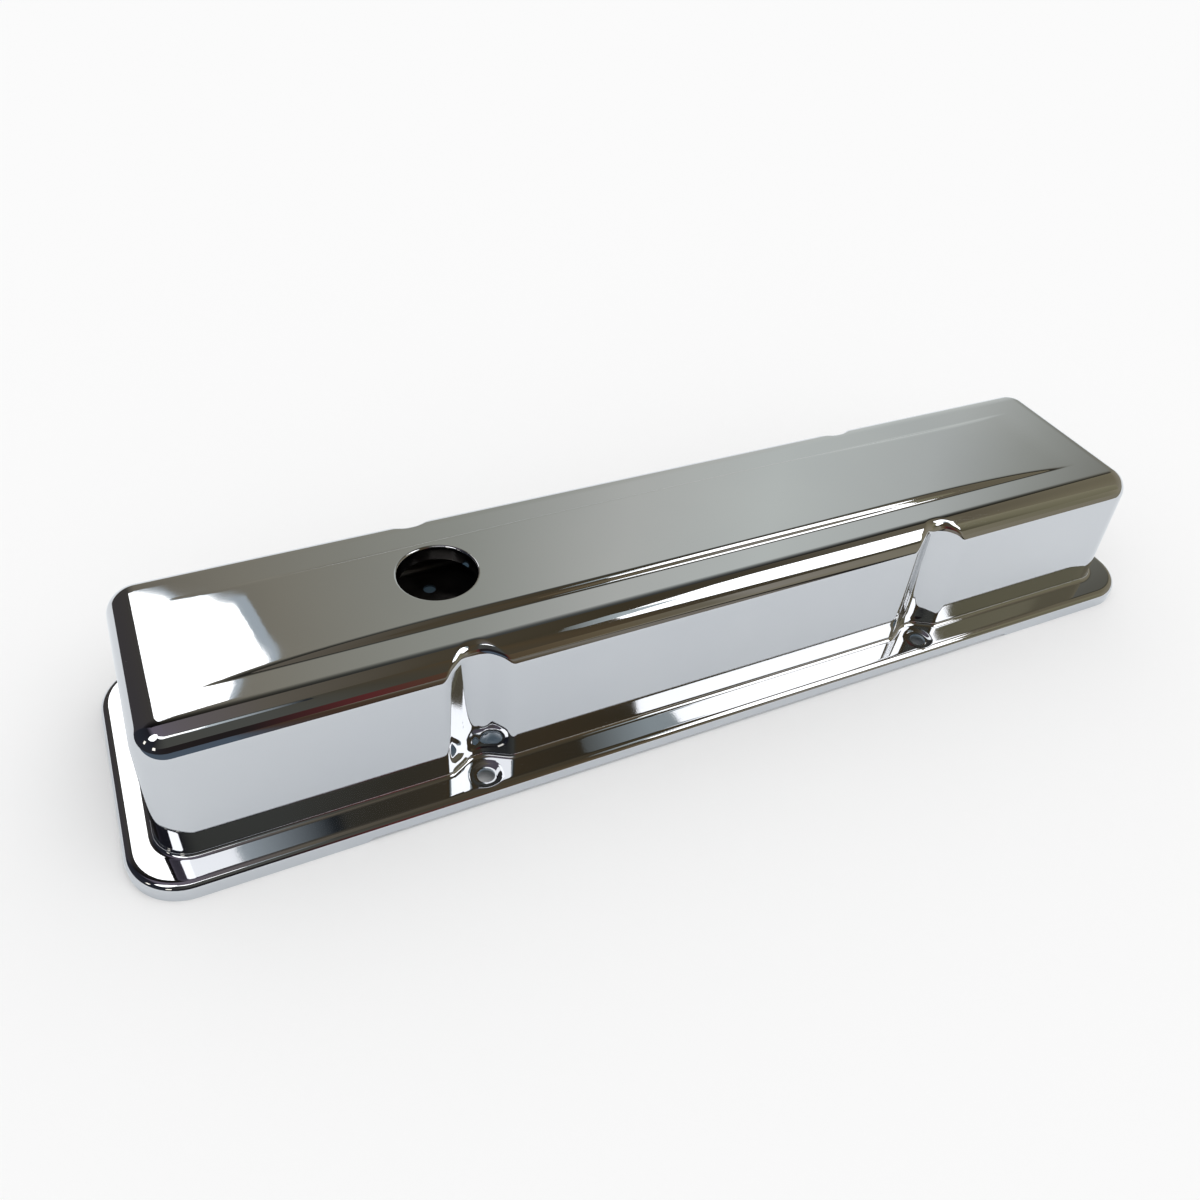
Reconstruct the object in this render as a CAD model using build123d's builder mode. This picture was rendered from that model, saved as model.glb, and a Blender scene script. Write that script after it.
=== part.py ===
from build123d import *
import os
from math import radians, sqrt, tan

os.makedirs("parts", exist_ok=True)

# Millimetres. The origin is under the middle of the cover, on the plane that its lip stands on.
# +X runs along the cover, away from the breather hole, +Y across it and +Z up.

# Sheet and overall size
sheet = 1.2
length = 473.0
width = 116.6
height = 66.0

# Flange that lies on the cylinder head, with its edge turned down into a lip
flange_height = 7.5
flange_side = 12.5
flange_end = 11.5
flange_corner = 21.5
lip_bend = 3.2
lip_relief = 1.3
full_lip_stretch = 81.7

# Drawn box above the flange
wall_draft = 2.2
roof_corner = 3.5
shoulder_bend = 8.0
root_bend = 2.0

# Bolt holes in shallow dimples, and the flutes that make room for the bolts
bolt_spacing_x = 211.8
bolt_setback = 8.1
bolt_hole = 7.0
pad_margin = 1.0
dimple_slope = 2.2
dimple_depth = 0.7
flute_depth = 5.2
flute_back = 6.6
flute_mouth = 22.0
flute_inner_bend = 9.5
flute_edge_bend = 5.0

# Raised panel in the roof, bounded by two long creases that fade out at their ends
panel_rise = 1.0
panel_slope_width = 5.0
panel_setback = 43.5
panel_fade = 59.5
panel_overrun = 0.15

# Breather hole between the two left bolts, with its edge turned down into a collar
breather_y = 3.0
breather_bore = 31.0
breather_bevel = 0.7
breather_margin = 1.4
collar_depth = 5.5

# Baffle welded to the roof under the breather hole, which keeps thrown oil away from it
baffle_sheet = 1.0
baffle_length = 112.0
baffle_foot = 5.0
baffle_clearance = 0.4
baffle_gap = 11.7
baffle_bend = 2.5
drain_hole = 5.0
drain_pitch = 24.0
drain_offset = 11.5

# Sizes that follow from the ones above
wall_lean = tan(radians(wall_draft))
wall_rise = height - flange_height
foot_length = length - 2 * flange_end
foot_width = width - 2 * flange_side
foot_corner = roof_corner + shoulder_bend + wall_lean * wall_rise
roof_top = height + panel_rise
roof_inside = height - sheet
bolt_spacing_y = width - 2 * bolt_setback
bolt_stations = [-bolt_spacing_x / 2, bolt_spacing_x / 2]
breather_x = bolt_stations[0]
panel_length = foot_length - 2 * panel_setback
panel_flat_length = panel_length - 2 * panel_fade
panel_half_top = breather_y + breather_bore / 2 + breather_bevel + breather_margin
panel_half_foot = panel_half_top + panel_slope_width


def flute_outline(grow, side):
    """Section of a flute, seen from above and centred on the wall, with its sides moved out by a growth."""
    lean = (flute_mouth - flute_back) / 2 / flute_depth
    half_back = flute_back / 2 + grow * (sqrt(1 + lean**2) - lean)
    half_front = half_back + lean * (flute_depth + grow + shoulder_bend)
    right_side = [(half_back, -flute_depth - grow), (half_front, shoulder_bend)]
    left_side = [(-x, y) for x, y in reversed(right_side)]
    with BuildSketch() as outline:
        Polygon(*[(x, side * y) for x, y in left_side + right_side], align=None)
        back_corners = outline.vertices().sort_by(lambda corner: side * corner.Y)[:2]
        fillet(back_corners, flute_inner_bend + grow)
    return outline.sketch


def bend(edges, radius, inset):
    """Bend in one skin: an arc outside, and a bevel inside that keeps a square bend one sheet thick."""
    if inset:
        chamfer(edges, radius * (2 - sqrt(2)))
    else:
        fillet(edges, radius)


def flute_rims(form, base):
    """Edges where the flutes run out into the wall and the shoulder, above the flange."""
    faces = form.faces().filter_by(
        lambda face: any(abs(face.center().X - x) < flute_mouth / 2 + sheet for x in bolt_stations)
        and base < face.center().Z < height - shoulder_bend
    )
    edges = [edge for face in faces for edge in face.edges() if edge.center().Z > base + sheet]
    return ShapeList(edge for edge in edges if sum(edge.is_same(other) for other in edges) == 1)


def flange_face(form, base):
    """Flat top of the flange slab, round the foot of the box."""
    return form.faces().filter_by(Axis.Z).filter_by_position(Axis.Z, base - sheet / 2, base + sheet / 2)[0]


def raised_panel(level):
    """Panel on a roof at the given level, arched down to it at both ends and sloped at both sides."""
    end = panel_flat_length / 2 + panel_fade * sqrt(1 + panel_overrun / panel_rise)
    crown = level + panel_rise
    seat = level - sheet / 2
    slope = panel_slope_width / panel_rise
    with BuildPart() as panel:
        with BuildSketch(Plane.XZ):
            with BuildLine():
                Line((-panel_flat_length / 2, crown), (panel_flat_length / 2, crown))
                for way in (-1, 1):
                    corner = (way * end, level - panel_overrun)
                    TangentArc((way * panel_flat_length / 2, crown), corner, tangent=(way, 0))
                    Line(corner, (way * end, seat))
                Line((-end, seat), (end, seat))
            make_face()
        extrude(amount=width / 2, both=True)
        with BuildSketch(Plane.YZ):
            with BuildLine():
                Polyline(
                    (-panel_half_foot - slope * (level - seat), seat),
                    (-panel_half_top + slope * panel_rise, crown + panel_rise),
                    (panel_half_top - slope * panel_rise, crown + panel_rise),
                    (panel_half_foot + slope * (level - seat), seat),
                    close=True,
                )
            make_face()
        extrude(amount=length / 2, both=True, mode=Mode.INTERSECT)
    return panel.part


def drawn_form(inset):
    """Solid inside one skin of the sheet: inset by nothing it is the outside, by one sheet the inside."""
    base = flange_height - inset
    wall_inset = inset * (1 - wall_lean)
    foot = (foot_length - 2 * wall_inset, foot_width - 2 * wall_inset, foot_corner - wall_inset)
    with BuildPart() as form:
        with BuildSketch(Plane.XY.offset(base)):
            RectangleRounded(*foot)
        extrude(amount=wall_rise, taper=wall_draft)
        fillet(form.faces().sort_by(Axis.Z)[-1].edges(), shoulder_bend - inset)
        for side in (-1, 1):
            with BuildSketch(Plane.XY.offset(base)):
                with Locations(*[(x, side * (foot_width / 2 + inset * wall_lean)) for x in bolt_stations]):
                    add(flute_outline(inset, side))
            extrude(amount=wall_rise + sheet, dir=(0, -side * wall_lean, 1), mode=Mode.SUBTRACT)
        bend(flute_rims(form, base), flute_edge_bend - wall_inset, inset)
        with BuildSketch():
            RectangleRounded(length - 2 * inset, width - 2 * inset, flange_corner - inset)
        extrude(amount=base)
        bend(flange_face(form, base).outer_wire().edges(), lip_bend - inset, inset)
        bend(flange_face(form, base).inner_wires()[0].edges(), root_bend + inset, inset)
        add(raised_panel(height - inset))
    return form.part


# Pressed shell: the outside of the drawing less its inside, open below
with BuildPart() as cover_shell:
    add(drawn_form(0))
    add(drawn_form(sheet), mode=Mode.SUBTRACT)

    # Dimples round the bolt holes, where the sheet bulges below as much as it sinks above
    pad_radius = bolt_hole / 2 + pad_margin
    dimple = (pad_radius, pad_radius + dimple_slope, dimple_depth)
    hang_down = (Align.CENTER, Align.CENTER, Align.MAX)
    with Locations((0, 0, flange_height - sheet)):
        with GridLocations(bolt_spacing_x, bolt_spacing_y, 2, 2):
            Cone(*dimple, align=hang_down)
    with Locations((0, 0, flange_height)):
        with GridLocations(bolt_spacing_x, bolt_spacing_y, 2, 2):
            Cone(*dimple, align=hang_down, mode=Mode.SUBTRACT)
            Hole(bolt_hole / 2, depth=2 * sheet + dimple_depth)

    # Breather hole: the collar first, then the bore, then the bevel that leads into it
    with BuildSketch(Plane.XY.offset(roof_top - collar_depth)):
        with Locations((breather_x, breather_y)):
            Circle(breather_bore / 2 + sheet)
    extrude(amount=collar_depth - sheet / 2)
    with BuildSketch(Plane.XY.offset(roof_top)):
        with Locations((breather_x, breather_y)):
            Circle(breather_bore / 2)
    extrude(amount=-2 * collar_depth, mode=Mode.SUBTRACT)
    round_edges = cover_shell.edges().filter_by(GeomType.CIRCLE)
    bore_edges = round_edges.filter_by(lambda edge: abs(edge.radius - breather_bore / 2) < sheet / 2)
    chamfer(bore_edges.sort_by(Axis.Z)[-1], breather_bevel)

    # Relief along the middle of both long lips, so that the cover stands on its corners
    with BuildSketch(Plane.XZ):
        Trapezoid(length - 2 * full_lip_stretch, lip_relief, 45, align=(Align.CENTER, Align.MIN))
    extrude(amount=width, both=True, mode=Mode.SUBTRACT)
cover_shell.part.label = "cover_shell"
export_step(cover_shell.part, "parts/cover_shell.step")

# Oil baffle: a tray hung from two feet that lie flat against the roof, between the panel and the flutes
flute_inside = foot_width / 2 - wall_lean * wall_rise - flute_depth - sheet
foot_edge = flute_inside - flute_edge_bend - baffle_clearance
tray_half = foot_edge - baffle_foot
tray_floor = roof_top - collar_depth - baffle_gap
with BuildPart() as oil_baffle:
    with BuildSketch(Plane.YZ.offset(breather_x - baffle_length / 2)):
        with BuildLine():
            FilletPolyline(
                (-foot_edge, roof_inside),
                (-tray_half, roof_inside),
                (-tray_half, tray_floor),
                (tray_half, tray_floor),
                (tray_half, roof_inside),
                (foot_edge, roof_inside),
                radius=baffle_bend,
            )
            offset(amount=baffle_sheet, side=Side.RIGHT)
        make_face()
    extrude(amount=baffle_length)
    with BuildSketch(Plane.XY.offset(tray_floor)):
        with Locations((breather_x, breather_y + drain_offset)):
            with GridLocations(drain_pitch, 0, 3, 1):
                Circle(drain_hole / 2)
    extrude(amount=-baffle_sheet, both=True, mode=Mode.SUBTRACT)
oil_baffle.part.label = "oil_baffle"
export_step(oil_baffle.part, "parts/oil_baffle.step")
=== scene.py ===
# %% [markdown]
# # A chrome-plated engine valve cover
#
# The cover is one pressed sheet of steel with a small oil baffle welded under its roof.
# The CAD frame fixes its overall size. This lesson gives it the mirror skin of chrome plate, which
# shows every bend of the sheet, and the studio that the chrome mirrors.
# All shapes below are worked out in millimetres and go into Blender in metres.

# %% Load the frame
import math

import bpy
import numpy as np
from mathutils import Matrix, Vector


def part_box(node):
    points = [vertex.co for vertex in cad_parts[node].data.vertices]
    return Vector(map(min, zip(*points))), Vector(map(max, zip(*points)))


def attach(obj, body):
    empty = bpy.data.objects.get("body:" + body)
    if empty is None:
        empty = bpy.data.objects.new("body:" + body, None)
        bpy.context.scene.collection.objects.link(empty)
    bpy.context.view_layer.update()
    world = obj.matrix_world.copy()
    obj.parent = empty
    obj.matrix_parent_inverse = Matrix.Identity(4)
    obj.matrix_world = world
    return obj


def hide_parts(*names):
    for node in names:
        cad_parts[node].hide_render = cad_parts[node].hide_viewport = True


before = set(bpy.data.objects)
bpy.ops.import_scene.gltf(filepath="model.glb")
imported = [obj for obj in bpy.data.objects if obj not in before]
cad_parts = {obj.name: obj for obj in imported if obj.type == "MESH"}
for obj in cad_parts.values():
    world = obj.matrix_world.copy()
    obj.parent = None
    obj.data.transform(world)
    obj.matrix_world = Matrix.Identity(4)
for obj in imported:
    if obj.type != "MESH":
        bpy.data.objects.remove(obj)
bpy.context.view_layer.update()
shell_low, shell_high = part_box("cover_shell")
shell_size = [round((high - low) * 1000, 1) for low, high in zip(shell_low, shell_high)]
print("shell is", shell_size, "mm")

# %% [markdown]
# ## Why the shell gets a new skin
#
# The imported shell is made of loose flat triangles. Paint would hide that, but chrome works like a
# mirror and would show each triangle of a bend as a small flat glint. The shell could be smoothed,
# remeshed or drawn again. Here it is worked out again, because a pressed sheet has a simple rule:
# one profile, from the lip over the flange and up the wall to the roof, is carried round a rounded
# rectangle. With narrow rows of faces beside each bend the mirror bends only where the metal does.

# %% Sizes of the pressing, in millimetres
sheet = 1.2
flange_width = np.array([11.5, 12.5])
lip_half = (np.array(shell_high[:2]) * 1000).round(1)
foot_half = lip_half - flange_width
flange_z, roof_z = 7.5, 66.0
bolt_setback = 8.1
bolts = np.array([105.9, lip_half[1] - bolt_setback])
breather = np.array([-bolts[0], 3.0])
print("lip", 2 * lip_half, "mm, foot of the walls", 2 * foot_half, "mm")

# %% Bends and corners
lip_bend, root_bend, shoulder_bend, rim_bend = 3.2, 2.0, 10.5, 5.0
flange_corner, roof_corner = 21.5, 11.5
lean_angle = math.radians(2.2)
lean = math.tan(lean_angle)
foot_corner = roof_corner + lean * (roof_z - flange_z)
flange_core = lip_half - flange_corner
wall_core = foot_half - foot_corner
print("corner centres: flange", flange_core.round(2), "walls", wall_core.round(2))

# %% [markdown]
# ## Where the columns of faces stand
#
# A column of faces runs up the section at each sample along the edge. The samples are close together
# where the metal changes along the edge, at the flutes, and across the roof at the two creases. They
# are far apart where the wall is plain. The same samples later cross the roof as its grid lines.

# %% Samples between two ends
def spread(*stretches):
    """Joins stretches of (start, end, widest step) into one rising array with no value twice."""
    parts = []
    for start, end, step in stretches:
        steps = max(1, math.ceil((end - start) / step))
        parts.append(np.linspace(start, end, steps + 1)[:-1])
    return np.concatenate(parts + [[stretches[-1][1]]])


# %% Samples along the long sides: plain wall, flute, the end of the lip's relief, plain wall
half_x = spread(
    (0, 86, 14), (86, 88.6, 1.3), (88.6, 90.6, 1.0), (90.6, 121.2, 0.73), (121.2, 123.1, 1.0),
    (123.1, 153.5, 3.8), (153.5, 154.8, 1.3), (154.8, 190, 3.6), (190, wall_core[0], 7),
)
long_x = np.concatenate([-half_x[:0:-1], half_x])
print(len(long_x), "samples along")

# %% Samples along the short sides: middle of the roof, crease, edge
middle_y = spread((-19.2, -14.4, 2.4), (-14.4, 19.0, 3.4))
edge_y = spread((19.8, 20.8, 0.5), (20.8, 24.6, 0.16), (24.6, wall_core[1], 2.4))
short_y = np.concatenate([-edge_y[::-1], middle_y, edge_y])
print(len(short_y), "samples across")

# %% [markdown]
# ## The path round the cover
#
# Each column knows three things: its point on the core rectangle that joins the corner centres, the
# outward direction there, and how deep the flute is. A flute is a groove with a flat back and
# sloping sides whose corners are arcs, so its depth is a function of the distance from the bolt.

# %% Depth of a flute
flute_deep, flute_back, flute_mouth = 5.2, 3.3, 12.6
hollow_bend, outer_bend = 9.5, 6.5


def flute_depth(x):
    """Depth at distance x from the groove's middle: flat back, hollow arc, slope, outer arc, nothing."""
    x = np.abs(x)
    turn = math.atan(flute_deep / (flute_mouth - flute_back))
    start = flute_back - hollow_bend * math.tan(turn / 2)
    stop = flute_mouth + outer_bend * math.tan(turn / 2)
    hollow_arc = flute_deep - hollow_bend + np.sqrt(np.maximum(hollow_bend**2 - (x - start) ** 2, 0))
    slope = flute_deep - (x - flute_back) * math.tan(turn)
    outer_arc = outer_bend - np.sqrt(np.maximum(outer_bend**2 - (stop - x) ** 2, 0))
    slope_start = start + hollow_bend * math.sin(turn)
    slope_stop = stop - outer_bend * math.sin(turn)
    zones = [x < start, x < slope_start, x < slope_stop, x < stop]
    return np.select(zones, [np.full_like(x, flute_deep), hollow_arc, slope, outer_arc], 0.0)


print("flute at 0, 5, 10 and 15 mm from the bolt:", flute_depth(np.array([0.0, 5, 10, 15])).round(2))

# %% Sides and corners of the path
corner_steps = 16
no_flute = 500.0


def side(core_x, core_y, normal, along):
    """Columns of one straight side: points on the core, the outward direction and the distance along x."""
    n = len(along)
    core = np.stack([np.broadcast_to(core_x, n), np.broadcast_to(core_y, n)], 1)
    return core, np.tile(normal, (n, 1)).astype(float), np.broadcast_to(along, n)


def corner(sign_x, sign_y, first):
    """Columns of one corner, without its ends: a fan of directions from a starting angle in degrees."""
    angle = np.radians(first + 90.0 * np.arange(1, corner_steps) / corner_steps)
    core = np.tile(wall_core * [sign_x, sign_y], (len(angle), 1))
    return core, np.stack([np.cos(angle), np.sin(angle)], 1), np.full(len(angle), no_flute)


# %% Columns round the cover
core_x, core_y = wall_core
at_ends = np.full(len(short_y), no_flute)
pieces = [
    side(long_x, -core_y, (0, -1), long_x), corner(1, -1, -90),
    side(core_x, short_y, (1, 0), at_ends), corner(1, 1, 0),
    side(long_x[::-1], core_y, (0, 1), long_x[::-1]), corner(-1, 1, 90),
    side(-core_x, short_y[::-1], (-1, 0), at_ends), corner(-1, -1, 180),
]
core, outward, along = (np.concatenate([piece[k] for piece in pieces]) for k in range(3))
depth = flute_depth(along + bolts[0]) + flute_depth(along - bolts[0])
print(len(core), "columns round the cover, deepest flute", depth.max(), "mm")

# %% Path of the flange, whose corners are wider, and relief under the middle of the long lips
straight_half = 195
relief_height, relief_half = 1.3, 154.8
stretched = np.interp(np.abs(core), [0, straight_half, core_x], [0, straight_half, flange_core[0]])
scaled = np.abs(core) * flange_core[1] / core_y
flange_path = np.sign(core) * np.where([True, False], stretched, scaled)
relief = relief_height * np.clip((relief_half - np.abs(along)) / relief_height, 0, 1)
print("lip stands on", np.count_nonzero(relief == 0), "of the columns")

# %% [markdown]
# ## The profile
#
# The profile starts at the cut edge of the lip and ends on the roof. Bends are arcs, and a narrow row
# of faces lies on each side of them. In a flute the wall steps back while the shoulder above stays,
# so there the profile turns twice: first round the small rim of the flute and then along what is
# left of the shoulder. Both arcs are sampled as one curve by length, so no face shrinks to nothing
# where the flute ends.

# %% Lip and its bend
def on_path(path, reach, z):
    """Points that stand off a path by a reach along the outward direction, at height z."""
    reach, z = np.broadcast_to(reach, len(path)), np.broadcast_to(z, len(path))
    return np.column_stack([path + outward * reach[:, None], z])


def lip_rows():
    """Straight lip, then a quarter circle over to the flange."""
    low = flange_z - lip_bend
    rows = [on_path(flange_path, flange_corner, relief + s * (low - relief)) for s in (0, 0.5, 0.9, 1)]
    for angle in np.radians(np.linspace(0, 90, 11)[1:]):
        reach = flange_corner - lip_bend * (1 - math.cos(angle))
        rows.append(on_path(flange_path, reach, low + lip_bend * math.sin(angle)))
    return rows


lip = lip_rows()
print("lip of", len(lip), "rows")

# %% Bend between flange and wall
def wall_line(z):
    """Reach of the leaning wall at a height, with the flutes taken off."""
    return foot_corner - depth - lean * (z - flange_z)


def root_rows():
    """Hollow arc between the flange and the wall, from its foot on the flange up to the wall."""
    middle_z = flange_z + root_bend
    middle = wall_line(middle_z) + root_bend / math.cos(lean_angle)
    rows = []
    for angle in np.linspace(math.radians(270), math.pi + lean_angle, 11):
        reach = middle + root_bend * math.cos(angle)
        rows.append(on_path(core, reach, middle_z + root_bend * math.sin(angle)))
    return rows


root = root_rows()
print("root of", len(root), "rows")

# %% Rim of the flute and rest of the shoulder
def top_rows(count=23):
    """Two arcs that touch, sampled evenly by their joint length.

    The shoulder's circle stands still. The rim's smaller circle touches it from inside and stands one
    radius behind the wall, so the deeper the flute, the further the rim takes over from the shoulder.
    """
    out = np.array([math.cos(lean_angle), math.sin(lean_angle)])
    up = np.array([-math.sin(lean_angle), math.cos(lean_angle)])
    whole = math.pi / 2 - lean_angle
    centre = np.array([roof_corner - shoulder_bend * math.tan(whole / 2), roof_z - shoulder_bend])
    small = shoulder_bend - rim_bend
    back = np.minimum(shoulder_bend - depth * math.cos(lean_angle) - rim_bend, small)
    touching = np.sqrt(np.maximum(small**2 - back**2, 0))
    level = (small - back * math.sin(lean_angle)) / math.cos(lean_angle)
    turn = np.minimum(np.arctan2(touching, back), whole)
    rise = np.where(turn < whole, touching, level)
    rim_centre = centre + back[:, None] * out + rise[:, None] * up
    length = rim_bend * turn + shoulder_bend * (whole - turn)
    rows = []
    for s in np.linspace(0, 1, count):
        walked = s * length
        on_rim = walked < rim_bend * turn
        angle = np.where(on_rim, walked / rim_bend, turn + (walked - rim_bend * turn) / shoulder_bend)
        spoke = np.cos(angle)[:, None] * out + np.sin(angle)[:, None] * up
        point = np.where(on_rim[:, None], rim_centre + rim_bend * spoke, centre + shoulder_bend * spoke)
        rows.append(on_path(core, point[:, 0], point[:, 1]))
    return rows


top = top_rows()
print("top of", len(top), "rows")

# %% All rows of the profile
flange_steps = (0.06, 0.2, 0.34, 0.5, 0.66, 0.8, 0.94)
wall_steps = (0.012, 0.3, 0.65, 0.988)
seam_reach = 0.7
flange = [lip[-1] + (root[0] - lip[-1]) * s for s in flange_steps]
wall = [root[-1] + (top[0] - root[-1]) * s for s in wall_steps]
band = np.array(lip + flange + root + wall + top + [on_path(core, seam_reach, roof_z)])
print("band of", band.shape[0], "rows by", band.shape[1], "columns")

# %% [markdown]
# ## The roof
#
# The roof is a height over the plane: flat at the edge, with a raised panel in the middle. The panel's
# crown is a long arch that comes down to the edge at both ends. Its sides are small steps, and
# each step is a hollow arc, a steep slope and a round arc. Where the arch is low there is no room for
# the whole step, so the two arcs meet at a smaller angle, and the crease fades out by itself. Both
# arcs also grow softer towards the ends, as the sheet was pulled less hard there.

# %% Height of the roof
panel_rise, panel_foot = 2.4, 24.5
level_half, fade_length, arch_power = 45.0, 150.0, 1.1
hollow, rounding, steepest, softening = 1.4, 2.4, math.radians(68), 2.5


def roof_height(x, y):
    """Edge height plus an arched crown; at the sides a hollow arc, a slope and a round arc rise to it."""
    u = np.clip((np.abs(x) - level_half) / fade_length, 0, 1)
    rise = panel_rise * (1 - u**2) ** arch_power
    soften = 1 + softening * (1 - rise / panel_rise)
    low_bend, high_bend = hollow * soften, rounding * soften
    both = low_bend + high_bend
    turn = np.arccos(np.maximum(1 - rise / both, math.cos(steepest)))
    straight = (rise - both * (1 - np.cos(turn))) / np.maximum(np.sin(turn), 1e-6)
    run = panel_foot - np.abs(y)
    low = low_bend * np.sin(turn)
    middle = low + straight * np.cos(turn)
    end = middle + high_bend * np.sin(turn)
    hollow_arc = low_bend - np.sqrt(np.maximum(low_bend**2 - run**2, 0))
    slope = low_bend * (1 - np.cos(turn)) + (run - low) * np.tan(turn)
    round_arc = rise - high_bend + np.sqrt(np.maximum(high_bend**2 - (end - run) ** 2, 0))
    zones = [run < 0, run < low, run < middle, run < end]
    return roof_z + np.select(zones, [np.zeros_like(run), hollow_arc, slope, round_arc], rise)


grid_x, grid_y = np.meshgrid(long_x, short_y, indexing="ij")
roof = np.stack([grid_x, grid_y, roof_height(grid_x, grid_y)], -1)
print("roof from", roof[..., 2].min().round(3), "to", roof[..., 2].max().round(3), "mm")

# %% [markdown]
# ## Joining the surfaces into one sheet
#
# Band and roof share the points of the core rectangle. A hole is made by taking a block of faces out of
# a grid and filling the gap with rings that run from the block's edge to a circle, so that the edge
# loop of the hole is truly round. The rings of the breather hole go on round its bend and down its
# collar. The bolt holes lie in dimples, which are a smooth dip round each hole.

# %% Numbers of the points
n_rows, n_cols = band.shape[:2]
n_x, n_y = len(long_x), len(short_y)
points = [band.reshape(-1, 3), roof.reshape(-1, 3)]
band_id = np.arange(n_rows * n_cols).reshape(n_rows, n_cols)
roof_id = n_rows * n_cols + np.arange(n_x * n_y).reshape(n_x, n_y)
core_loop = np.concatenate([
    roof_id[:, 0], np.full(corner_steps - 1, roof_id[-1, 0]),
    roof_id[-1, :], np.full(corner_steps - 1, roof_id[-1, -1]),
    roof_id[::-1, -1], np.full(corner_steps - 1, roof_id[0, -1]),
    roof_id[0, ::-1], np.full(corner_steps - 1, roof_id[0, 0]),
])
band_id = np.vstack([band_id, core_loop])
print("band and roof share", len(np.unique(core_loop)), "points")

# %% Faces from numbers
def grid_faces(ids, closed):
    """Four-cornered faces between neighbouring rows and columns of a grid of point numbers."""
    right = np.roll(ids, -1, 1) if closed else ids[:, 1:]
    left = ids if closed else ids[:, :-1]
    return np.stack([left[:-1], right[:-1], right[1:], left[1:]], -1)


band_faces = grid_faces(band_id, True)
roof_faces = grid_faces(roof_id.T, False).transpose(1, 0, 2)
faces, holes = [], []
print("faces:", band_faces.shape[:2], "in the band,", roof_faces.shape[:2], "in the roof")

# %% Helpers for the rings round a hole
def edge_loop(ids, r0, r1, c0, c1):
    """Numbers of the points round a block of a grid, in the turning sense of its faces."""
    return np.concatenate([ids[r0, c0:c1], ids[r0:r1, c1], ids[r1, c1:c0:-1], ids[r1:r0:-1, c0]])


def add_points(new):
    """Stores a ring of points and gives back their numbers."""
    first = sum(len(stored) for stored in points)
    points.append(new)
    return first + np.arange(len(new))


def close_rings(loops):
    """Faces between the loops of point numbers, of which the last is the edge of the hole."""
    faces.append(grid_faces(np.array(loops), True).reshape(-1, 4))
    holes.append(loops[-1])


# %% Bolt holes in the flange
bolt_radius, pad_half = 3.5, 6.6
flange_row = len(lip)
rear_start = n_x + n_y + 2 * (corner_steps - 1)


def open_bolt_hole(station, y_sign):
    """Takes the pad's faces out of the band and lays rings from the pad's edge in to a circle."""
    xs, first = (long_x, 0) if y_sign < 0 else (long_x[::-1], rear_start)
    pad = np.flatnonzero(np.abs(xs - station) < pad_half) + first
    c0, c1, r0, r1 = pad[0], pad[-1], flange_row, flange_row + len(flange_steps) - 1
    loop = edge_loop(band_id, r0, r1, c0, c1)
    border = np.concatenate(points)[loop, :2]
    ray = border - [station, y_sign * bolts[1]]
    circle = [station, y_sign * bolts[1]] + bolt_radius * ray / np.linalg.norm(ray, axis=1)[:, None]
    loops = [loop]
    for s in (0.25, 0.5, 0.75, 0.92, 1.0):
        flat = border + (circle - border) * s
        loops.append(add_points(np.column_stack([flat, np.full(len(flat), flange_z)])))
    band_faces[r0:r1, c0:c1] = -1
    close_rings(loops)


for y_sign in (-1, 1):
    for station in (-bolts[0], bolts[0]):
        open_bolt_hole(station, y_sign)
print(len(holes), "bolt holes of", 2 * bolt_radius, "mm")

# %% Breather hole: rings on the roof
bore, lead = 15.5, 0.9
block_x, block_y = (-123.1, -88.6), (-14.4, 19.8)
i0, i1 = (np.abs(long_x - x).argmin() for x in block_x)
j0, j1 = (np.abs(short_y - y).argmin() for y in block_y)
loop = edge_loop(roof_id.T, j0, j1, i0, i1)
border = np.concatenate(points)[loop, :2]
ray = border - breather
spoke = ray / np.linalg.norm(ray, axis=1)[:, None]
rim = breather + (bore + lead) * spoke
loops = [loop]
for s in (0.35, 0.7, 0.93, 1.0):
    flat = border + (rim - border) * s
    loops.append(add_points(np.column_stack([flat, roof_height(*flat.T)])))
print("breather hole of", 2 * bore, "mm with", len(loop), "points round it")

# %% Breather hole: bend and collar
collar_rows = (65.9, 64.0, 61.7, 61.5)
rim_z = roof_height(*rim.T)
for angle in np.radians(np.linspace(0, 90, 9)[1:]):
    ring = breather + (bore + lead - lead * math.sin(angle)) * spoke
    loops.append(add_points(np.column_stack([ring, rim_z - lead + lead * math.cos(angle)])))
for z in collar_rows:
    loops.append(add_points(np.column_stack([breather + bore * spoke, np.full(len(spoke), z)])))
roof_faces[i0:i1, j0:j1] = -1
close_rings(loops)
print("collar ends", collar_rows[-1], "mm above the table")

# %% Dimples round the bolt holes
dimple_depth, dimple_edge, dimple_slope = 0.7, 6.9, 2.5


def dimple(x, y):
    """Depth of the dip round the nearest bolt hole: a smooth step from the flat pad out to the rim."""
    r = np.hypot(np.abs(x) - bolts[0], np.abs(y) - bolts[1])
    s = np.clip((dimple_edge - r) / dimple_slope, 0, 1)
    return dimple_depth * s * s * (3 - 2 * s)


outside = np.concatenate(points)
on_flange = outside[:, 2] < 2 * flange_z
outside[:, 2] -= np.where(on_flange, dimple(outside[:, 0], outside[:, 1]), 0)
print(len(outside), "points in the outer skin")

# %% [markdown]
# ## Giving the sheet its thickness
#
# So far there is only the outside. The inside is the same surface moved inwards by one sheet along
# its own normals, which is what bending does to a sheet: outer bends get tighter inside and hollow
# ones wider. The collar was drawn out of the roof, so it is thinner. Cut edges close the gap between
# the two skins. A Solidify modifier would do nearly the same, but the thinner collar is easier here.

# %% Normals of the outer skin
outer_faces = np.concatenate([part.reshape(-1, 4) for part in (band_faces, roof_faces, *faces)])
outer_faces = outer_faces[outer_faces[:, 0] >= 0]


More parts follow.
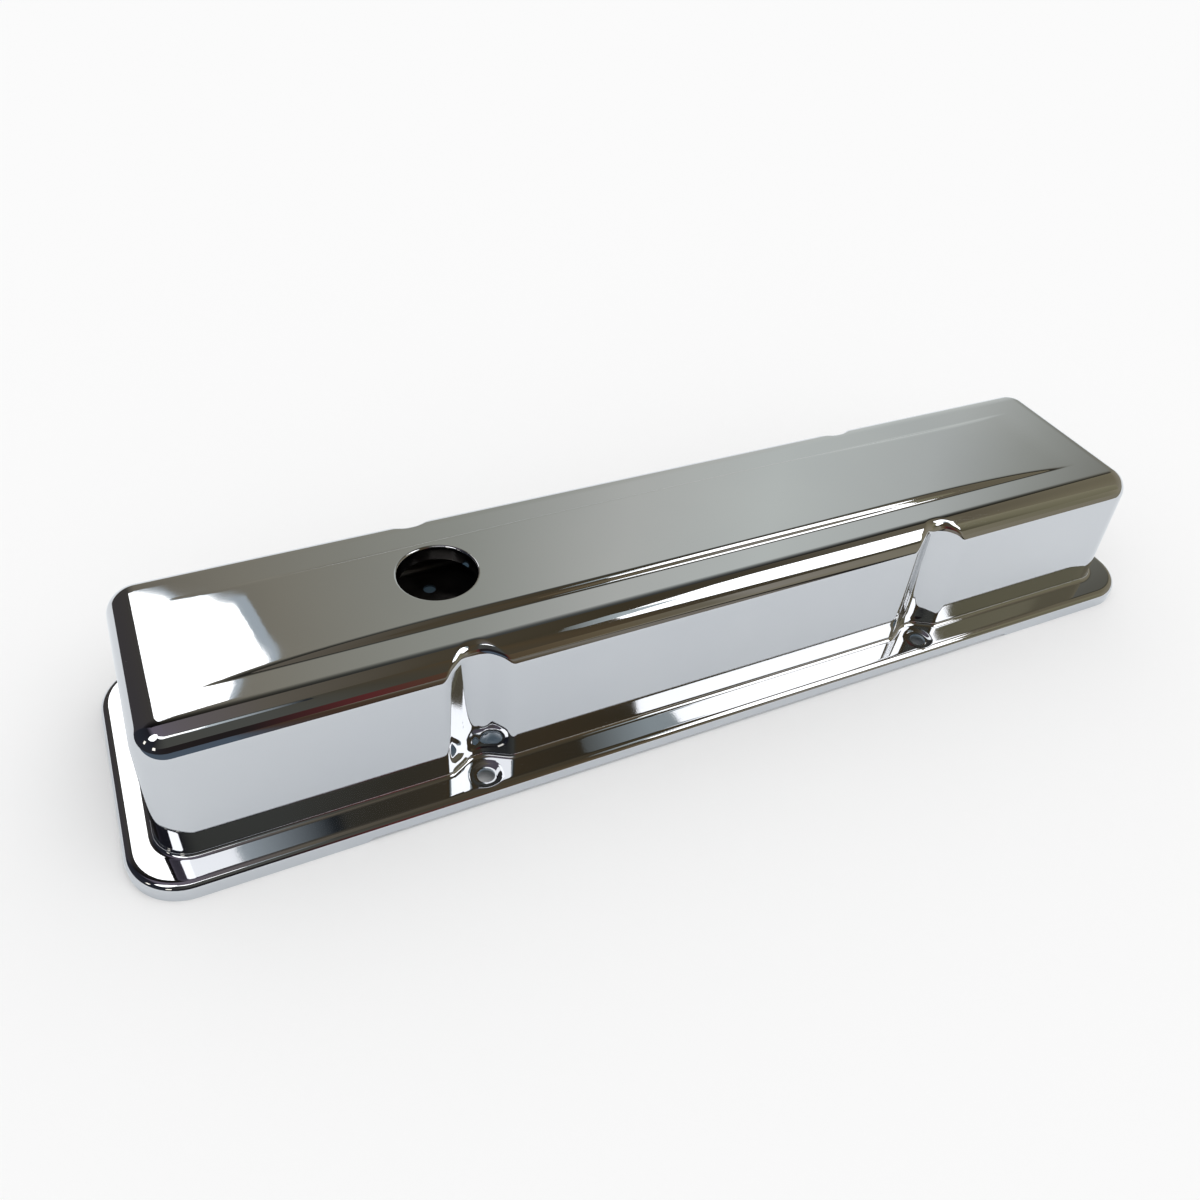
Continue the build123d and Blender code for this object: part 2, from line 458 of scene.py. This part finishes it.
def point_normals(where, quads):
    """Unit normals: the face normals, sized by face area, summed at each point."""
    a, b, c, d = (where[quads[:, k]] for k in range(4))
    cross = np.cross(c - a, d - b)
    total = np.zeros_like(where)
    for k in range(4):
        np.add.at(total, quads[:, k], cross)
    return total / np.maximum(np.linalg.norm(total, axis=1), 1e-12)[:, None]


normals = point_normals(outside, outer_faces)
print(len(outer_faces), "faces in the outer skin")

# %% Inner skin and cut edges
collar_sheet = 0.85
far = np.hypot(outside[:, 0] - breather[0], outside[:, 1] - breather[1])
thinned = np.interp(far, [bore + 1.5, bore + 5.5], [collar_sheet, sheet])
thickness = np.where(outside[:, 2] > roof_z - 6, thinned, sheet)
inner = outside - normals * thickness[:, None]
count = len(outside)
lip_edge = band_id[0, ::-1]
cuts = []
for loop in (lip_edge, *holes):
    after = np.roll(loop, -1)
    cuts.append(np.stack([loop, after, after + count, loop + count], 1))
all_points = np.concatenate([outside, inner])
all_faces = np.concatenate([outer_faces, outer_faces[:, ::-1] + count, *cuts])
slot_sizes = [len(outer_faces), len(outer_faces), sum(len(cut) for cut in cuts)]
slot_numbers = np.repeat([0, 1, 0], slot_sizes)
print(len(all_faces), "faces in the shell")

# %% [markdown]
# ## From arrays to a mesh
#
# Corner fans have faces whose last two points are the same, and these become triangles. Points that
# no face uses, inside the holes, are dropped. Smooth shading is right for all bends, and edges that
# turn by more than 50 degrees are the cut edges, which stay sharp.

# %% Make the shell
def build_mesh(name, where, quads, slots):
    """One mesh from points in millimetres, faces of four numbers and a material number for each."""
    used, packed = np.unique(quads, return_inverse=True)
    packed = packed.reshape(quads.shape)
    rows = [[v for k, v in enumerate(row) if v != row[k - 1]] for row in packed.tolist()]
    mesh = bpy.data.meshes.new(name)
    mesh.from_pydata((where[used] * 0.001).tolist(), [], rows)
    mesh.polygons.foreach_set("material_index", np.asarray(slots, np.int32))
    mesh.polygons.foreach_set("use_smooth", np.ones(len(rows), bool))
    mesh.set_sharp_from_angle(angle=math.radians(50))
    mesh.update()
    obj = bpy.data.objects.new(name, mesh)
    bpy.context.scene.collection.objects.link(obj)
    return obj


chrome_shell = build_mesh("chrome_shell", all_points, all_faces, slot_numbers)
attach(chrome_shell, "root")
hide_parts("cover_shell")
print("shell mesh has", len(chrome_shell.data.polygons), "polygons")

# %% [markdown]
# ## Chrome plate
#
# Bright chrome on a pressing is a metal mirror that reflects a little over half of the light, a touch
# blue. It is never perfectly flat: the sheet keeps a very shallow waviness from the press, the polish
# leaves fine grain, and handling leaves faint haze. Waves are a bump of low height and long
# wavelength, and haze is a change of roughness. An image could hold these marks, but noise in
# object coordinates follows the real scale and stays put when the cover turns.

# %% A new material and its noise
def new_material(name):
    """A material with its node tree, its main shader and its object coordinates."""
    material = bpy.data.materials.new(name)
    material.use_nodes = True
    tree = material.node_tree
    tree.nodes.clear()
    output = tree.nodes.new("ShaderNodeOutputMaterial")
    shader = tree.nodes.new("ShaderNodeBsdfPrincipled")
    coordinates = tree.nodes.new("ShaderNodeTexCoord")
    tree.links.new(shader.outputs["BSDF"], output.inputs["Surface"])
    return material, tree, shader, coordinates.outputs["Object"]


def noise(tree, where, scale, detail=2.0, stretch=(1, 1, 1)):
    """Noise of the given scale, in cycles for each metre, on stretched object coordinates."""
    mapping = tree.nodes.new("ShaderNodeMapping")
    mapping.inputs["Scale"].default_value = stretch
    texture = tree.nodes.new("ShaderNodeTexNoise")
    texture.inputs["Scale"].default_value = scale
    texture.inputs["Detail"].default_value = detail
    tree.links.new(where, mapping.inputs["Vector"])
    tree.links.new(mapping.outputs["Vector"], texture.inputs["Vector"])
    return texture.outputs["Fac"]


# %% Turning noise into colours, levels and bumps
def ramp(tree, value, stops):
    """Colour ramp through (position, colour) stops."""
    node = tree.nodes.new("ShaderNodeValToRGB")
    while len(node.color_ramp.elements) < len(stops):
        node.color_ramp.elements.new(0.5)
    for element, (position, colour) in zip(node.color_ramp.elements, stops):
        element.position = position
        element.color = (*colour, 1)
    tree.links.new(value, node.inputs["Fac"])
    return node.outputs["Color"]


def span(tree, value, low, high, start=0.35, end=0.65):
    """Maps a value between start and end to the range from low to high."""
    node = tree.nodes.new("ShaderNodeMapRange")
    for key, number in (("From Min", start), ("From Max", end), ("To Min", low), ("To Max", high)):
        node.inputs[key].default_value = number
    tree.links.new(value, node.inputs["Value"])
    return node.outputs["Result"]


def bump(tree, height, distance, under=None):
    """Bump whose full height is a distance in metres, laid over another one if given."""
    node = tree.nodes.new("ShaderNodeBump")
    node.inputs["Strength"].default_value = 1.0
    node.inputs["Distance"].default_value = distance
    tree.links.new(height, node.inputs["Height"])
    if under is not None:
        tree.links.new(under, node.inputs["Normal"])
    return node.outputs["Normal"]


# %% Chrome on the outside
chrome, tree, shader, where = new_material("bright_chrome")
shader.inputs["Metallic"].default_value = 1.0
tint_stops = [(0.3, (0.545, 0.555, 0.575)), (0.7, (0.585, 0.592, 0.605))]
tint = ramp(tree, noise(tree, where, 9, 3), tint_stops)
haze = span(tree, noise(tree, where, 26, 5), 0.022, 0.062, 0.4, 0.75)
waves = bump(tree, noise(tree, where, 22, 1.5, (0.5, 1, 1)), distance=0.00012)
grain = bump(tree, noise(tree, where, 1400, 2), distance=0.0000012, under=waves)
tree.links.new(tint, shader.inputs["Base Color"])
tree.links.new(haze, shader.inputs["Roughness"])
tree.links.new(grain, shader.inputs["Normal"])
chrome_shell.data.materials.append(chrome)
print("chrome has", len(tree.nodes), "nodes")

# %% [markdown]
# ## Inside of the shell
#
# Plating hardly reaches into the hollow, and nobody polishes it. So the inside is duller, darker and
# blotchy. It is the same recipe with more roughness, and the second material slot carries it.

# %% Dull plate on the inside
dull, tree, shader, where = new_material("plated_inside")
shader.inputs["Metallic"].default_value = 1.0
blotch_stops = [(0.3, (0.24, 0.235, 0.23)), (0.7, (0.38, 0.375, 0.37))]
blotches = ramp(tree, noise(tree, where, 30, 5), blotch_stops)
tree.links.new(blotches, shader.inputs["Base Color"])
tree.links.new(span(tree, noise(tree, where, 60, 4), 0.26, 0.42), shader.inputs["Roughness"])
tree.links.new(bump(tree, noise(tree, where, 900, 3), distance=0.00001), shader.inputs["Normal"])
chrome_shell.data.materials.append(dull)
print("the shell has", len(chrome_shell.data.materials), "materials")

# %% [markdown]
# ## The baffle
#
# The baffle is plain sheet under the breather hole. It gets no polish, so it is dull, and its colour is
# near black with blotches of oil stain.
# Its CAD shape is right as it is, so it only gets a material, and its place is not touched.

# %% Baffle
steel, tree, shader, where = new_material("dark_baffle_steel")
shader.inputs["Metallic"].default_value = 1.0
stain_stops = [(0.3, (0.045, 0.04, 0.036)), (0.7, (0.12, 0.112, 0.104))]
stains = ramp(tree, noise(tree, where, 45, 4), stain_stops)
rolling_marks = noise(tree, where, 700, 3, (0.1, 1, 1))
tree.links.new(stains, shader.inputs["Base Color"])
tree.links.new(span(tree, noise(tree, where, 70, 4), 0.3, 0.52), shader.inputs["Roughness"])
tree.links.new(bump(tree, rolling_marks, distance=0.000012), shader.inputs["Normal"])
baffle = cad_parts["oil_baffle"]
if not baffle.material_slots:
    baffle.data.materials.append(steel)
for slot in baffle.material_slots:
    slot.material = steel
print("baffle has", len(baffle.material_slots), "material slot")

# %% [markdown]
# ## The studio
#
# Chrome has no colour of its own to speak of, so its look is the room that it mirrors. The floor is
# pale and large. Round the cover stands a room of big cards that only mirror-like surfaces see: grey
# behind, brown in front and above, and bright windows in it, as a photographer would set flags and
# lamps. They cast no shadow and give no light to the floor, so the floor stays even. The room is near,
# because a near wall makes the grey change along the roof, as it does on a real bench.

# %% Flat pieces
def flat_piece(name, corners):
    """A flat polygon from its corners in metres."""
    mesh = bpy.data.meshes.new(name)
    mesh.from_pydata([tuple(c) for c in corners], [], [list(range(len(corners)))])
    obj = bpy.data.objects.new(name, mesh)
    bpy.context.scene.collection.objects.link(obj)
    return obj


# %% Floor, with a faint blue glow painted on it that only mirror rays see
floor_half = 6
floor = flat_piece("floor", [
    (-floor_half, -floor_half, 0), (floor_half, -floor_half, 0),
    (floor_half, floor_half, 0), (-floor_half, floor_half, 0),
])
paper, tree, shader, where = new_material("pale_floor_with_painted_glow")
shader.inputs["Base Color"].default_value = (0.95, 0.95, 0.95, 1)
shader.inputs["Roughness"].default_value = 0.9
shader.inputs["Specular IOR Level"].default_value = 0.0
# Painted light: the floor glows faint blue for glossy rays only, so the chrome shows it brighter and
# bluer, also where the cover's shadow falls.
shader.inputs["Emission Color"].default_value = (0.45, 0.75, 1, 1)
painted_glow_switch = tree.nodes.new("ShaderNodeLightPath").outputs["Is Glossy Ray"]
tree.links.new(span(tree, painted_glow_switch, 0, 0.11, 0, 1), shader.inputs["Emission Strength"])
floor.data.materials.append(paper)
print("floor is", 2 * floor_half, "m wide")

# %% Cards that the chrome mirrors
room_left, room_right, room_front, room_back, room_top = -2.5, 4.0, -2.2, 1.5, 4.5
white = (1, 1, 1)


def glow(obj, stops, axis="X", reach=(0.0, 1.0), strength=1.0, fade=None):
    """Makes a card glow in the colours of its stops along one axis, in reflections only.

    A fade is a list of (height, level) stops that replaces the strength.
    """
    material = bpy.data.materials.new(obj.name)
    material.use_nodes = True
    tree = material.node_tree
    tree.nodes.clear()
    output = tree.nodes.new("ShaderNodeOutputMaterial")
    light = tree.nodes.new("ShaderNodeEmission")
    coordinates = tree.nodes.new("ShaderNodeTexCoord")
    split = tree.nodes.new("ShaderNodeSeparateXYZ")
    tree.links.new(coordinates.outputs["Object"], split.inputs["Vector"])
    low, high = reach
    placed = [((value - low) / (high - low), colour) for value, colour in stops]
    colours = ramp(tree, span(tree, split.outputs[axis], 0, 1, low, high), placed)
    tree.links.new(colours, light.inputs["Color"])
    light.inputs["Strength"].default_value = strength
    if fade:
        levels = [(value / room_top, (level, level, level)) for value, level in fade]
        dimmed = ramp(tree, span(tree, split.outputs["Z"], 0, 1, 0, room_top), levels)
        tree.links.new(dimmed, light.inputs["Strength"])
    tree.links.new(light.outputs["Emission"], output.inputs["Surface"])
    obj.data.materials.append(material)
    obj.visible_camera = False
    obj.visible_diffuse = False
    obj.visible_shadow = False


# %% Walls of the room
across = (room_left, room_right)


def front_to_back_card(name, y, z, stops, fade=None):
    """A card as wide as the room, from its first to its second y and z, with colours along x."""
    corners = [
        (room_left, y[0], z[0]), (room_right, y[0], z[0]),
        (room_right, y[1], z[1]), (room_left, y[1], z[1]),
    ]
    glow(flat_piece(name, corners), stops, "X", across, fade=fade)


def end_card(name, x, stops):
    """A card that closes one end of the room, with colours along z."""
    corners = [
        (x, room_front, 0), (x, room_back, 0),
        (x, room_back, room_top), (x, room_front, room_top),
    ]
    glow(flat_piece(name, corners), stops, "Z", (0, room_top))


# %% Pale grey behind: dim at the left, brightest right of the middle
back_stops = [
    (-2.5, (0.06, 0.055, 0.065)), (-0.55, (0.075, 0.068, 0.062)), (-0.3, (0.22, 0.2, 0.16)),
    (-0.1, (0.31, 0.29, 0.235)), (0.4, (0.44, 0.45, 0.4)), (0.85, (0.67, 0.68, 0.64)),
    (1.3, (0.75, 0.785, 0.75)), (1.9, (0.64, 0.665, 0.64)), (2.3, (0.44, 0.455, 0.42)),
    (2.7, (0.3, 0.3, 0.265)), (3.3, (0.27, 0.25, 0.19)),
]
back_fade = [(0, 1), (1.75, 1), (2.1, 0.55), (2.6, 0.25), (3.4, 0.12), (4.5, 0.1)]
front_to_back_card("back_card", (room_back, room_back), (0, room_top), back_stops, back_fade)
print("back card has", len(back_stops), "colours")

# %% Brown in front: low and high
bench_height = 0.9
low_stops = [
    (-2.5, (0.03, 0.03, 0.035)), (-0.15, (0.025, 0.02, 0.02)), (0.15, (0.15, 0.035, 0.035)),
    (0.4, (0.12, 0.08, 0.045)), (0.8, (0.19, 0.15, 0.09)), (1.1, (0.22, 0.195, 0.14)),
    (1.25, (0.35, 0.32, 0.27)), (1.9, (0.28, 0.25, 0.18)), (2.5, (0.25, 0.23, 0.15)),
    (3.0, (0.35, 0.31, 0.22)),
]
high_stops = [
    (-2.5, (0.03, 0.03, 0.035)), (-0.1, (0.11, 0.112, 0.1)), (0.3, (0.09, 0.08, 0.058)),
    (0.85, (0.11, 0.08, 0.045)), (1.3, (0.08, 0.065, 0.04)), (2.0, (0.09, 0.08, 0.05)),
    (2.6, (0.24, 0.22, 0.14)), (4.0, (0.33, 0.3, 0.2)),
]
front = (room_front, room_front)
front_to_back_card("front_low_card", front, (0, bench_height), low_stops)
front_to_back_card("front_high_card", front, (bench_height, room_top), high_stops)
print("front cards meet at", bench_height, "m")

# %% Dark ceiling and the two ends
ceiling_stops = [
    (-2.5, (0.2, 0.17, 0.22)), (-0.6, (0.2, 0.175, 0.21)), (0.0, (0.17, 0.15, 0.12)),
    (0.8, (0.1, 0.082, 0.054)), (1.8, (0.07, 0.056, 0.033)), (2.6, (0.09, 0.075, 0.05)),
    (3.3, (0.16, 0.14, 0.1)), (4.0, (0.2, 0.175, 0.12)),
]
left_stops = [
    (0, (0.035, 0.037, 0.045)), (1.0, (0.03, 0.033, 0.045)), (2.9, (0.022, 0.022, 0.03)),
    (3.9, (0.14, 0.125, 0.16)), (4.5, (0.19, 0.17, 0.22)),
]
right_stops = [
    (0, (0.36, 0.33, 0.26)), (2.0, (0.3, 0.265, 0.19)), (3.2, (0.25, 0.22, 0.145)),
    (4.5, (0.17, 0.145, 0.1)),
]
depth_range = (room_front, room_back)
front_to_back_card("ceiling_card", depth_range, (room_top, room_top), ceiling_stops)
end_card("left_card", room_left, left_stops)
end_card("right_card", room_right, right_stops)
print("room is", room_right - room_left, "by", room_back - room_front, "by", room_top, "m")

# %% [markdown]
# ## Edge of the paper, and the windows
#
# In front the paper ends, and the bench beyond it is dark. Its edge gives the rounded shoulder its dark
# lower line. The windows are brighter than white, so they clip in the chrome. Their outlines are given
# as angles seen from the cover, which is how a lamp is aimed, or as places on the back wall. A weaker
# frame beside a window, blended along x, makes its mirror image end softly.

# %% Edge of the paper in front
paper_edge, above_floor = -0.16, 0.001
apron_stops = [
    (-2.5, (0.10, 0.13, 0.17)), (-0.19, (0.11, 0.145, 0.19)), (-0.16, (0.085, 0.05, 0.035)),
    (-0.11, (0.09, 0.055, 0.035)), (-0.04, (0.145, 0.115, 0.073)), (0.02, (0.27, 0.245, 0.205)),
    (0.12, (0.28, 0.25, 0.21)), (0.16, (0.02, 0.018, 0.015)), (0.2, (0.02, 0.018, 0.015)),
    (0.24, (0.3, 0.27, 0.2)), (4.0, (0.33, 0.3, 0.22)),
]
bench = (room_front, paper_edge)
front_to_back_card("apron_card", bench, (above_floor, above_floor), apron_stops)
print("paper ends", -paper_edge, "m in front of the middle")

# %% Window in the back wall, with a narrow blue-grey frame behind it
window = [
    (-0.50, 1.2), (-0.31, 1.25), (-0.25, 1.285), (-0.21, 1.335), (-0.183, 1.35), (-0.172, 1.41),
    (-0.160, 1.48), (-0.145, 1.53), (-0.150, 1.58), (-0.165, 1.62), (-0.18, 1.655), (-0.22, 1.69),
    (-0.30, 1.8), (-0.36, 2.2), (-0.50, 2.2),
]
frame_edge = [(x + (0.027 if x > -0.2 else 0.006), z - 0.008) for x, z in window]
frame_blue = (0.55, 0.62, 0.67)
window_frame = flat_piece("window_frame", [(x, room_back - 0.01, z) for x, z in frame_edge])
left_window = flat_piece("left_window", [(x, room_back - 0.02, z) for x, z in window])
glow(window_frame, [(0, frame_blue), (1, frame_blue)])
glow(left_window, [(0, white), (1, white)], strength=3.0)
print("window has", len(window), "corners")

# %% Lamps placed by direction
aim = [0, -0.04, 0.06]


def lamp_card(name, outline, distance, strength, colours=(white, white), reach=(0.0, 1.0)):
    """A card square to the cover, with two colours blended along x.

    Its outline is a list of (compass angle from +y, height angle) in degrees: each is a ray, cut by the
    plane at the distance that is square to the mean of the rays.
    """
    azimuth, height = np.radians(np.array(outline, float)).T
    flat = np.cos(height)
    rays = np.stack([np.sin(azimuth) * flat, np.cos(azimuth) * flat, np.sin(height)], 1)
    centre = rays.mean(0) / np.linalg.norm(rays.mean(0))
    corners = rays * (distance / (rays @ centre))[:, None] + aim
    glow(flat_piece(name, corners), list(zip(reach, colours)), "X", reach, strength)


# %% Window in front on the right, and its frame
front_window = [
    (99, 47.5), (112, 44.5), (119, 42), (122.5, 40.2), (128.5, 32.5), (133.5, 25), (139, 23),
    (144.6, 17.5), (150, 18.5), (154.5, 29.8), (151.5, 40.8), (146, 51), (134, 60), (120, 61.5),
    (105, 61.8), (99, 60),
]
front_frame = [(134, 48), (152, 47), (151, 53), (141, 61.5), (130, 62.5)]
frame_colours = ((0.09, 0.08, 0.055), (0.62, 0.7, 0.72))
lamp_card("front_window", front_window, 3.0, 3.0)
lamp_card("front_window_frame", front_frame, 3.05, 1.0, frame_colours, (0.84, 1.12))
print("front window has", len(front_window), "corners")

# %% Small windows that light the left corner
corner_window = [
    (-103, 36), (-100, 45), (-103, 58), (-115, 62), (-128, 58), (-129, 48), (-124, 40), (-115, 36),
]
warm = (1, 0.95, 0.85)
left_spot = [(-128, 11), (-128, 20), (-136, 20), (-136, 11)]
right_spot = [(-97, 17), (-97, 26), (-103, 26), (-103, 17)]
lamp_card("corner_window", corner_window, 2.4, 3.0)
lamp_card("left_spot", left_spot, 2.4, 2.0, (warm, warm))
lamp_card("right_spot", right_spot, 2.4, 2.0, (warm, warm))
print("corner window has", len(corner_window), "corners")

# %% Window in front on the left, and its frame
front_left_window = [
    (-171, 55.5), (-171, 60), (-160, 61), (-146, 61), (-130, 60), (-129, 53), (-145, 52), (-158, 53),
]
front_left_frame = [(177, 55), (177, 61), (190, 61), (190, 54)]
frame_colours = ((0.9, 1, 1.05), (0.03, 0.035, 0.04))
lamp_card("front_left_window", front_left_window, 3.0, 2.5)
lamp_card("front_left_frame", front_left_frame, 3.1, 1.0, frame_colours, (-0.3, 0.06))
print("front left window has", len(front_left_window), "corners")

# %% [markdown]
# ## The light on the floor
#
# The cards give no light, so the floor needs its own: an even white sky and one very soft lamp, which
# leaves a faint shadow round the cover. The sky is white to the eye and in mirrors, and a little
# weaker as a light, so that the pale floor stays just below white.

# %% Sky
def shown_to_eye_and_mirror(tree):
    """One for camera, glossy and transmission rays, nothing for the light that falls on things."""
    path = tree.nodes.new("ShaderNodeLightPath")
    total = path.outputs["Is Camera Ray"]
    for key in ("Is Glossy Ray", "Is Transmission Ray"):
        node = tree.nodes.new("ShaderNodeMath")
        node.operation = "MAXIMUM"
        tree.links.new(total, node.inputs[0])
        tree.links.new(path.outputs[key], node.inputs[1])
        total = node.outputs["Value"]
    return total


scene = bpy.context.scene
sky_light = 0.83
world = bpy.data.worlds.new("soft_white")
world.use_nodes = True
tree = world.node_tree
background = tree.nodes["Background"]
background.inputs["Color"].default_value = (1, 1, 1, 1)
level = span(tree, shown_to_eye_and_mirror(tree), sky_light, 1, 0, 1)
tree.links.new(level, background.inputs["Strength"])
scene.world = world
print("sky light", sky_light)

# %% Soft lamp
lamp = bpy.data.objects.new("soft_lamp", bpy.data.lights.new("soft_lamp", "SUN"))
lamp.data.energy = 0.65
lamp.data.angle = math.radians(50)
lamp.rotation_euler = Vector((0.3, -0.4, 1.0)).to_track_quat("Z", "Y").to_euler()
lamp.visible_glossy = False
scene.collection.objects.link(lamp)
scene.view_settings.view_transform = "Standard"
print("lamp energy", round(lamp.data.energy, 2))

# %% [markdown]
# ## The camera
#
# The camera stands in front of the cover, near its left end, and looks down on it at about 42
# degrees. It is near, so the far end looks small. Its place was worked out from the cover's own
# known sizes, and its three directions make up the rotation.

# %% Camera
picture_width = 1200
focal_length_in_pixels = 1021.93
camera_data = bpy.data.cameras.new("camera")
camera_data.sensor_fit = "HORIZONTAL"
camera_data.sensor_width = 36.0
camera_data.lens = focal_length_in_pixels * camera_data.sensor_width / picture_width
camera_data.clip_start, camera_data.clip_end = 0.01, 100.0
camera = bpy.data.objects.new("camera", camera_data)
scene.collection.objects.link(camera)
right = Vector((0.90296, -0.4233, 0.07405)).normalized()
ahead = Vector((0.35967, 0.65016, -0.66928)).normalized()
up = right.cross(ahead).normalized()
right = ahead.cross(up)
place = Vector((-0.19277, -0.28414, 0.32621))
camera.matrix_world = Matrix.LocRotScale(place, Matrix((right, up, -ahead)).transposed(), None)
scene.camera = camera
print("lens", round(camera_data.lens, 1), "mm")
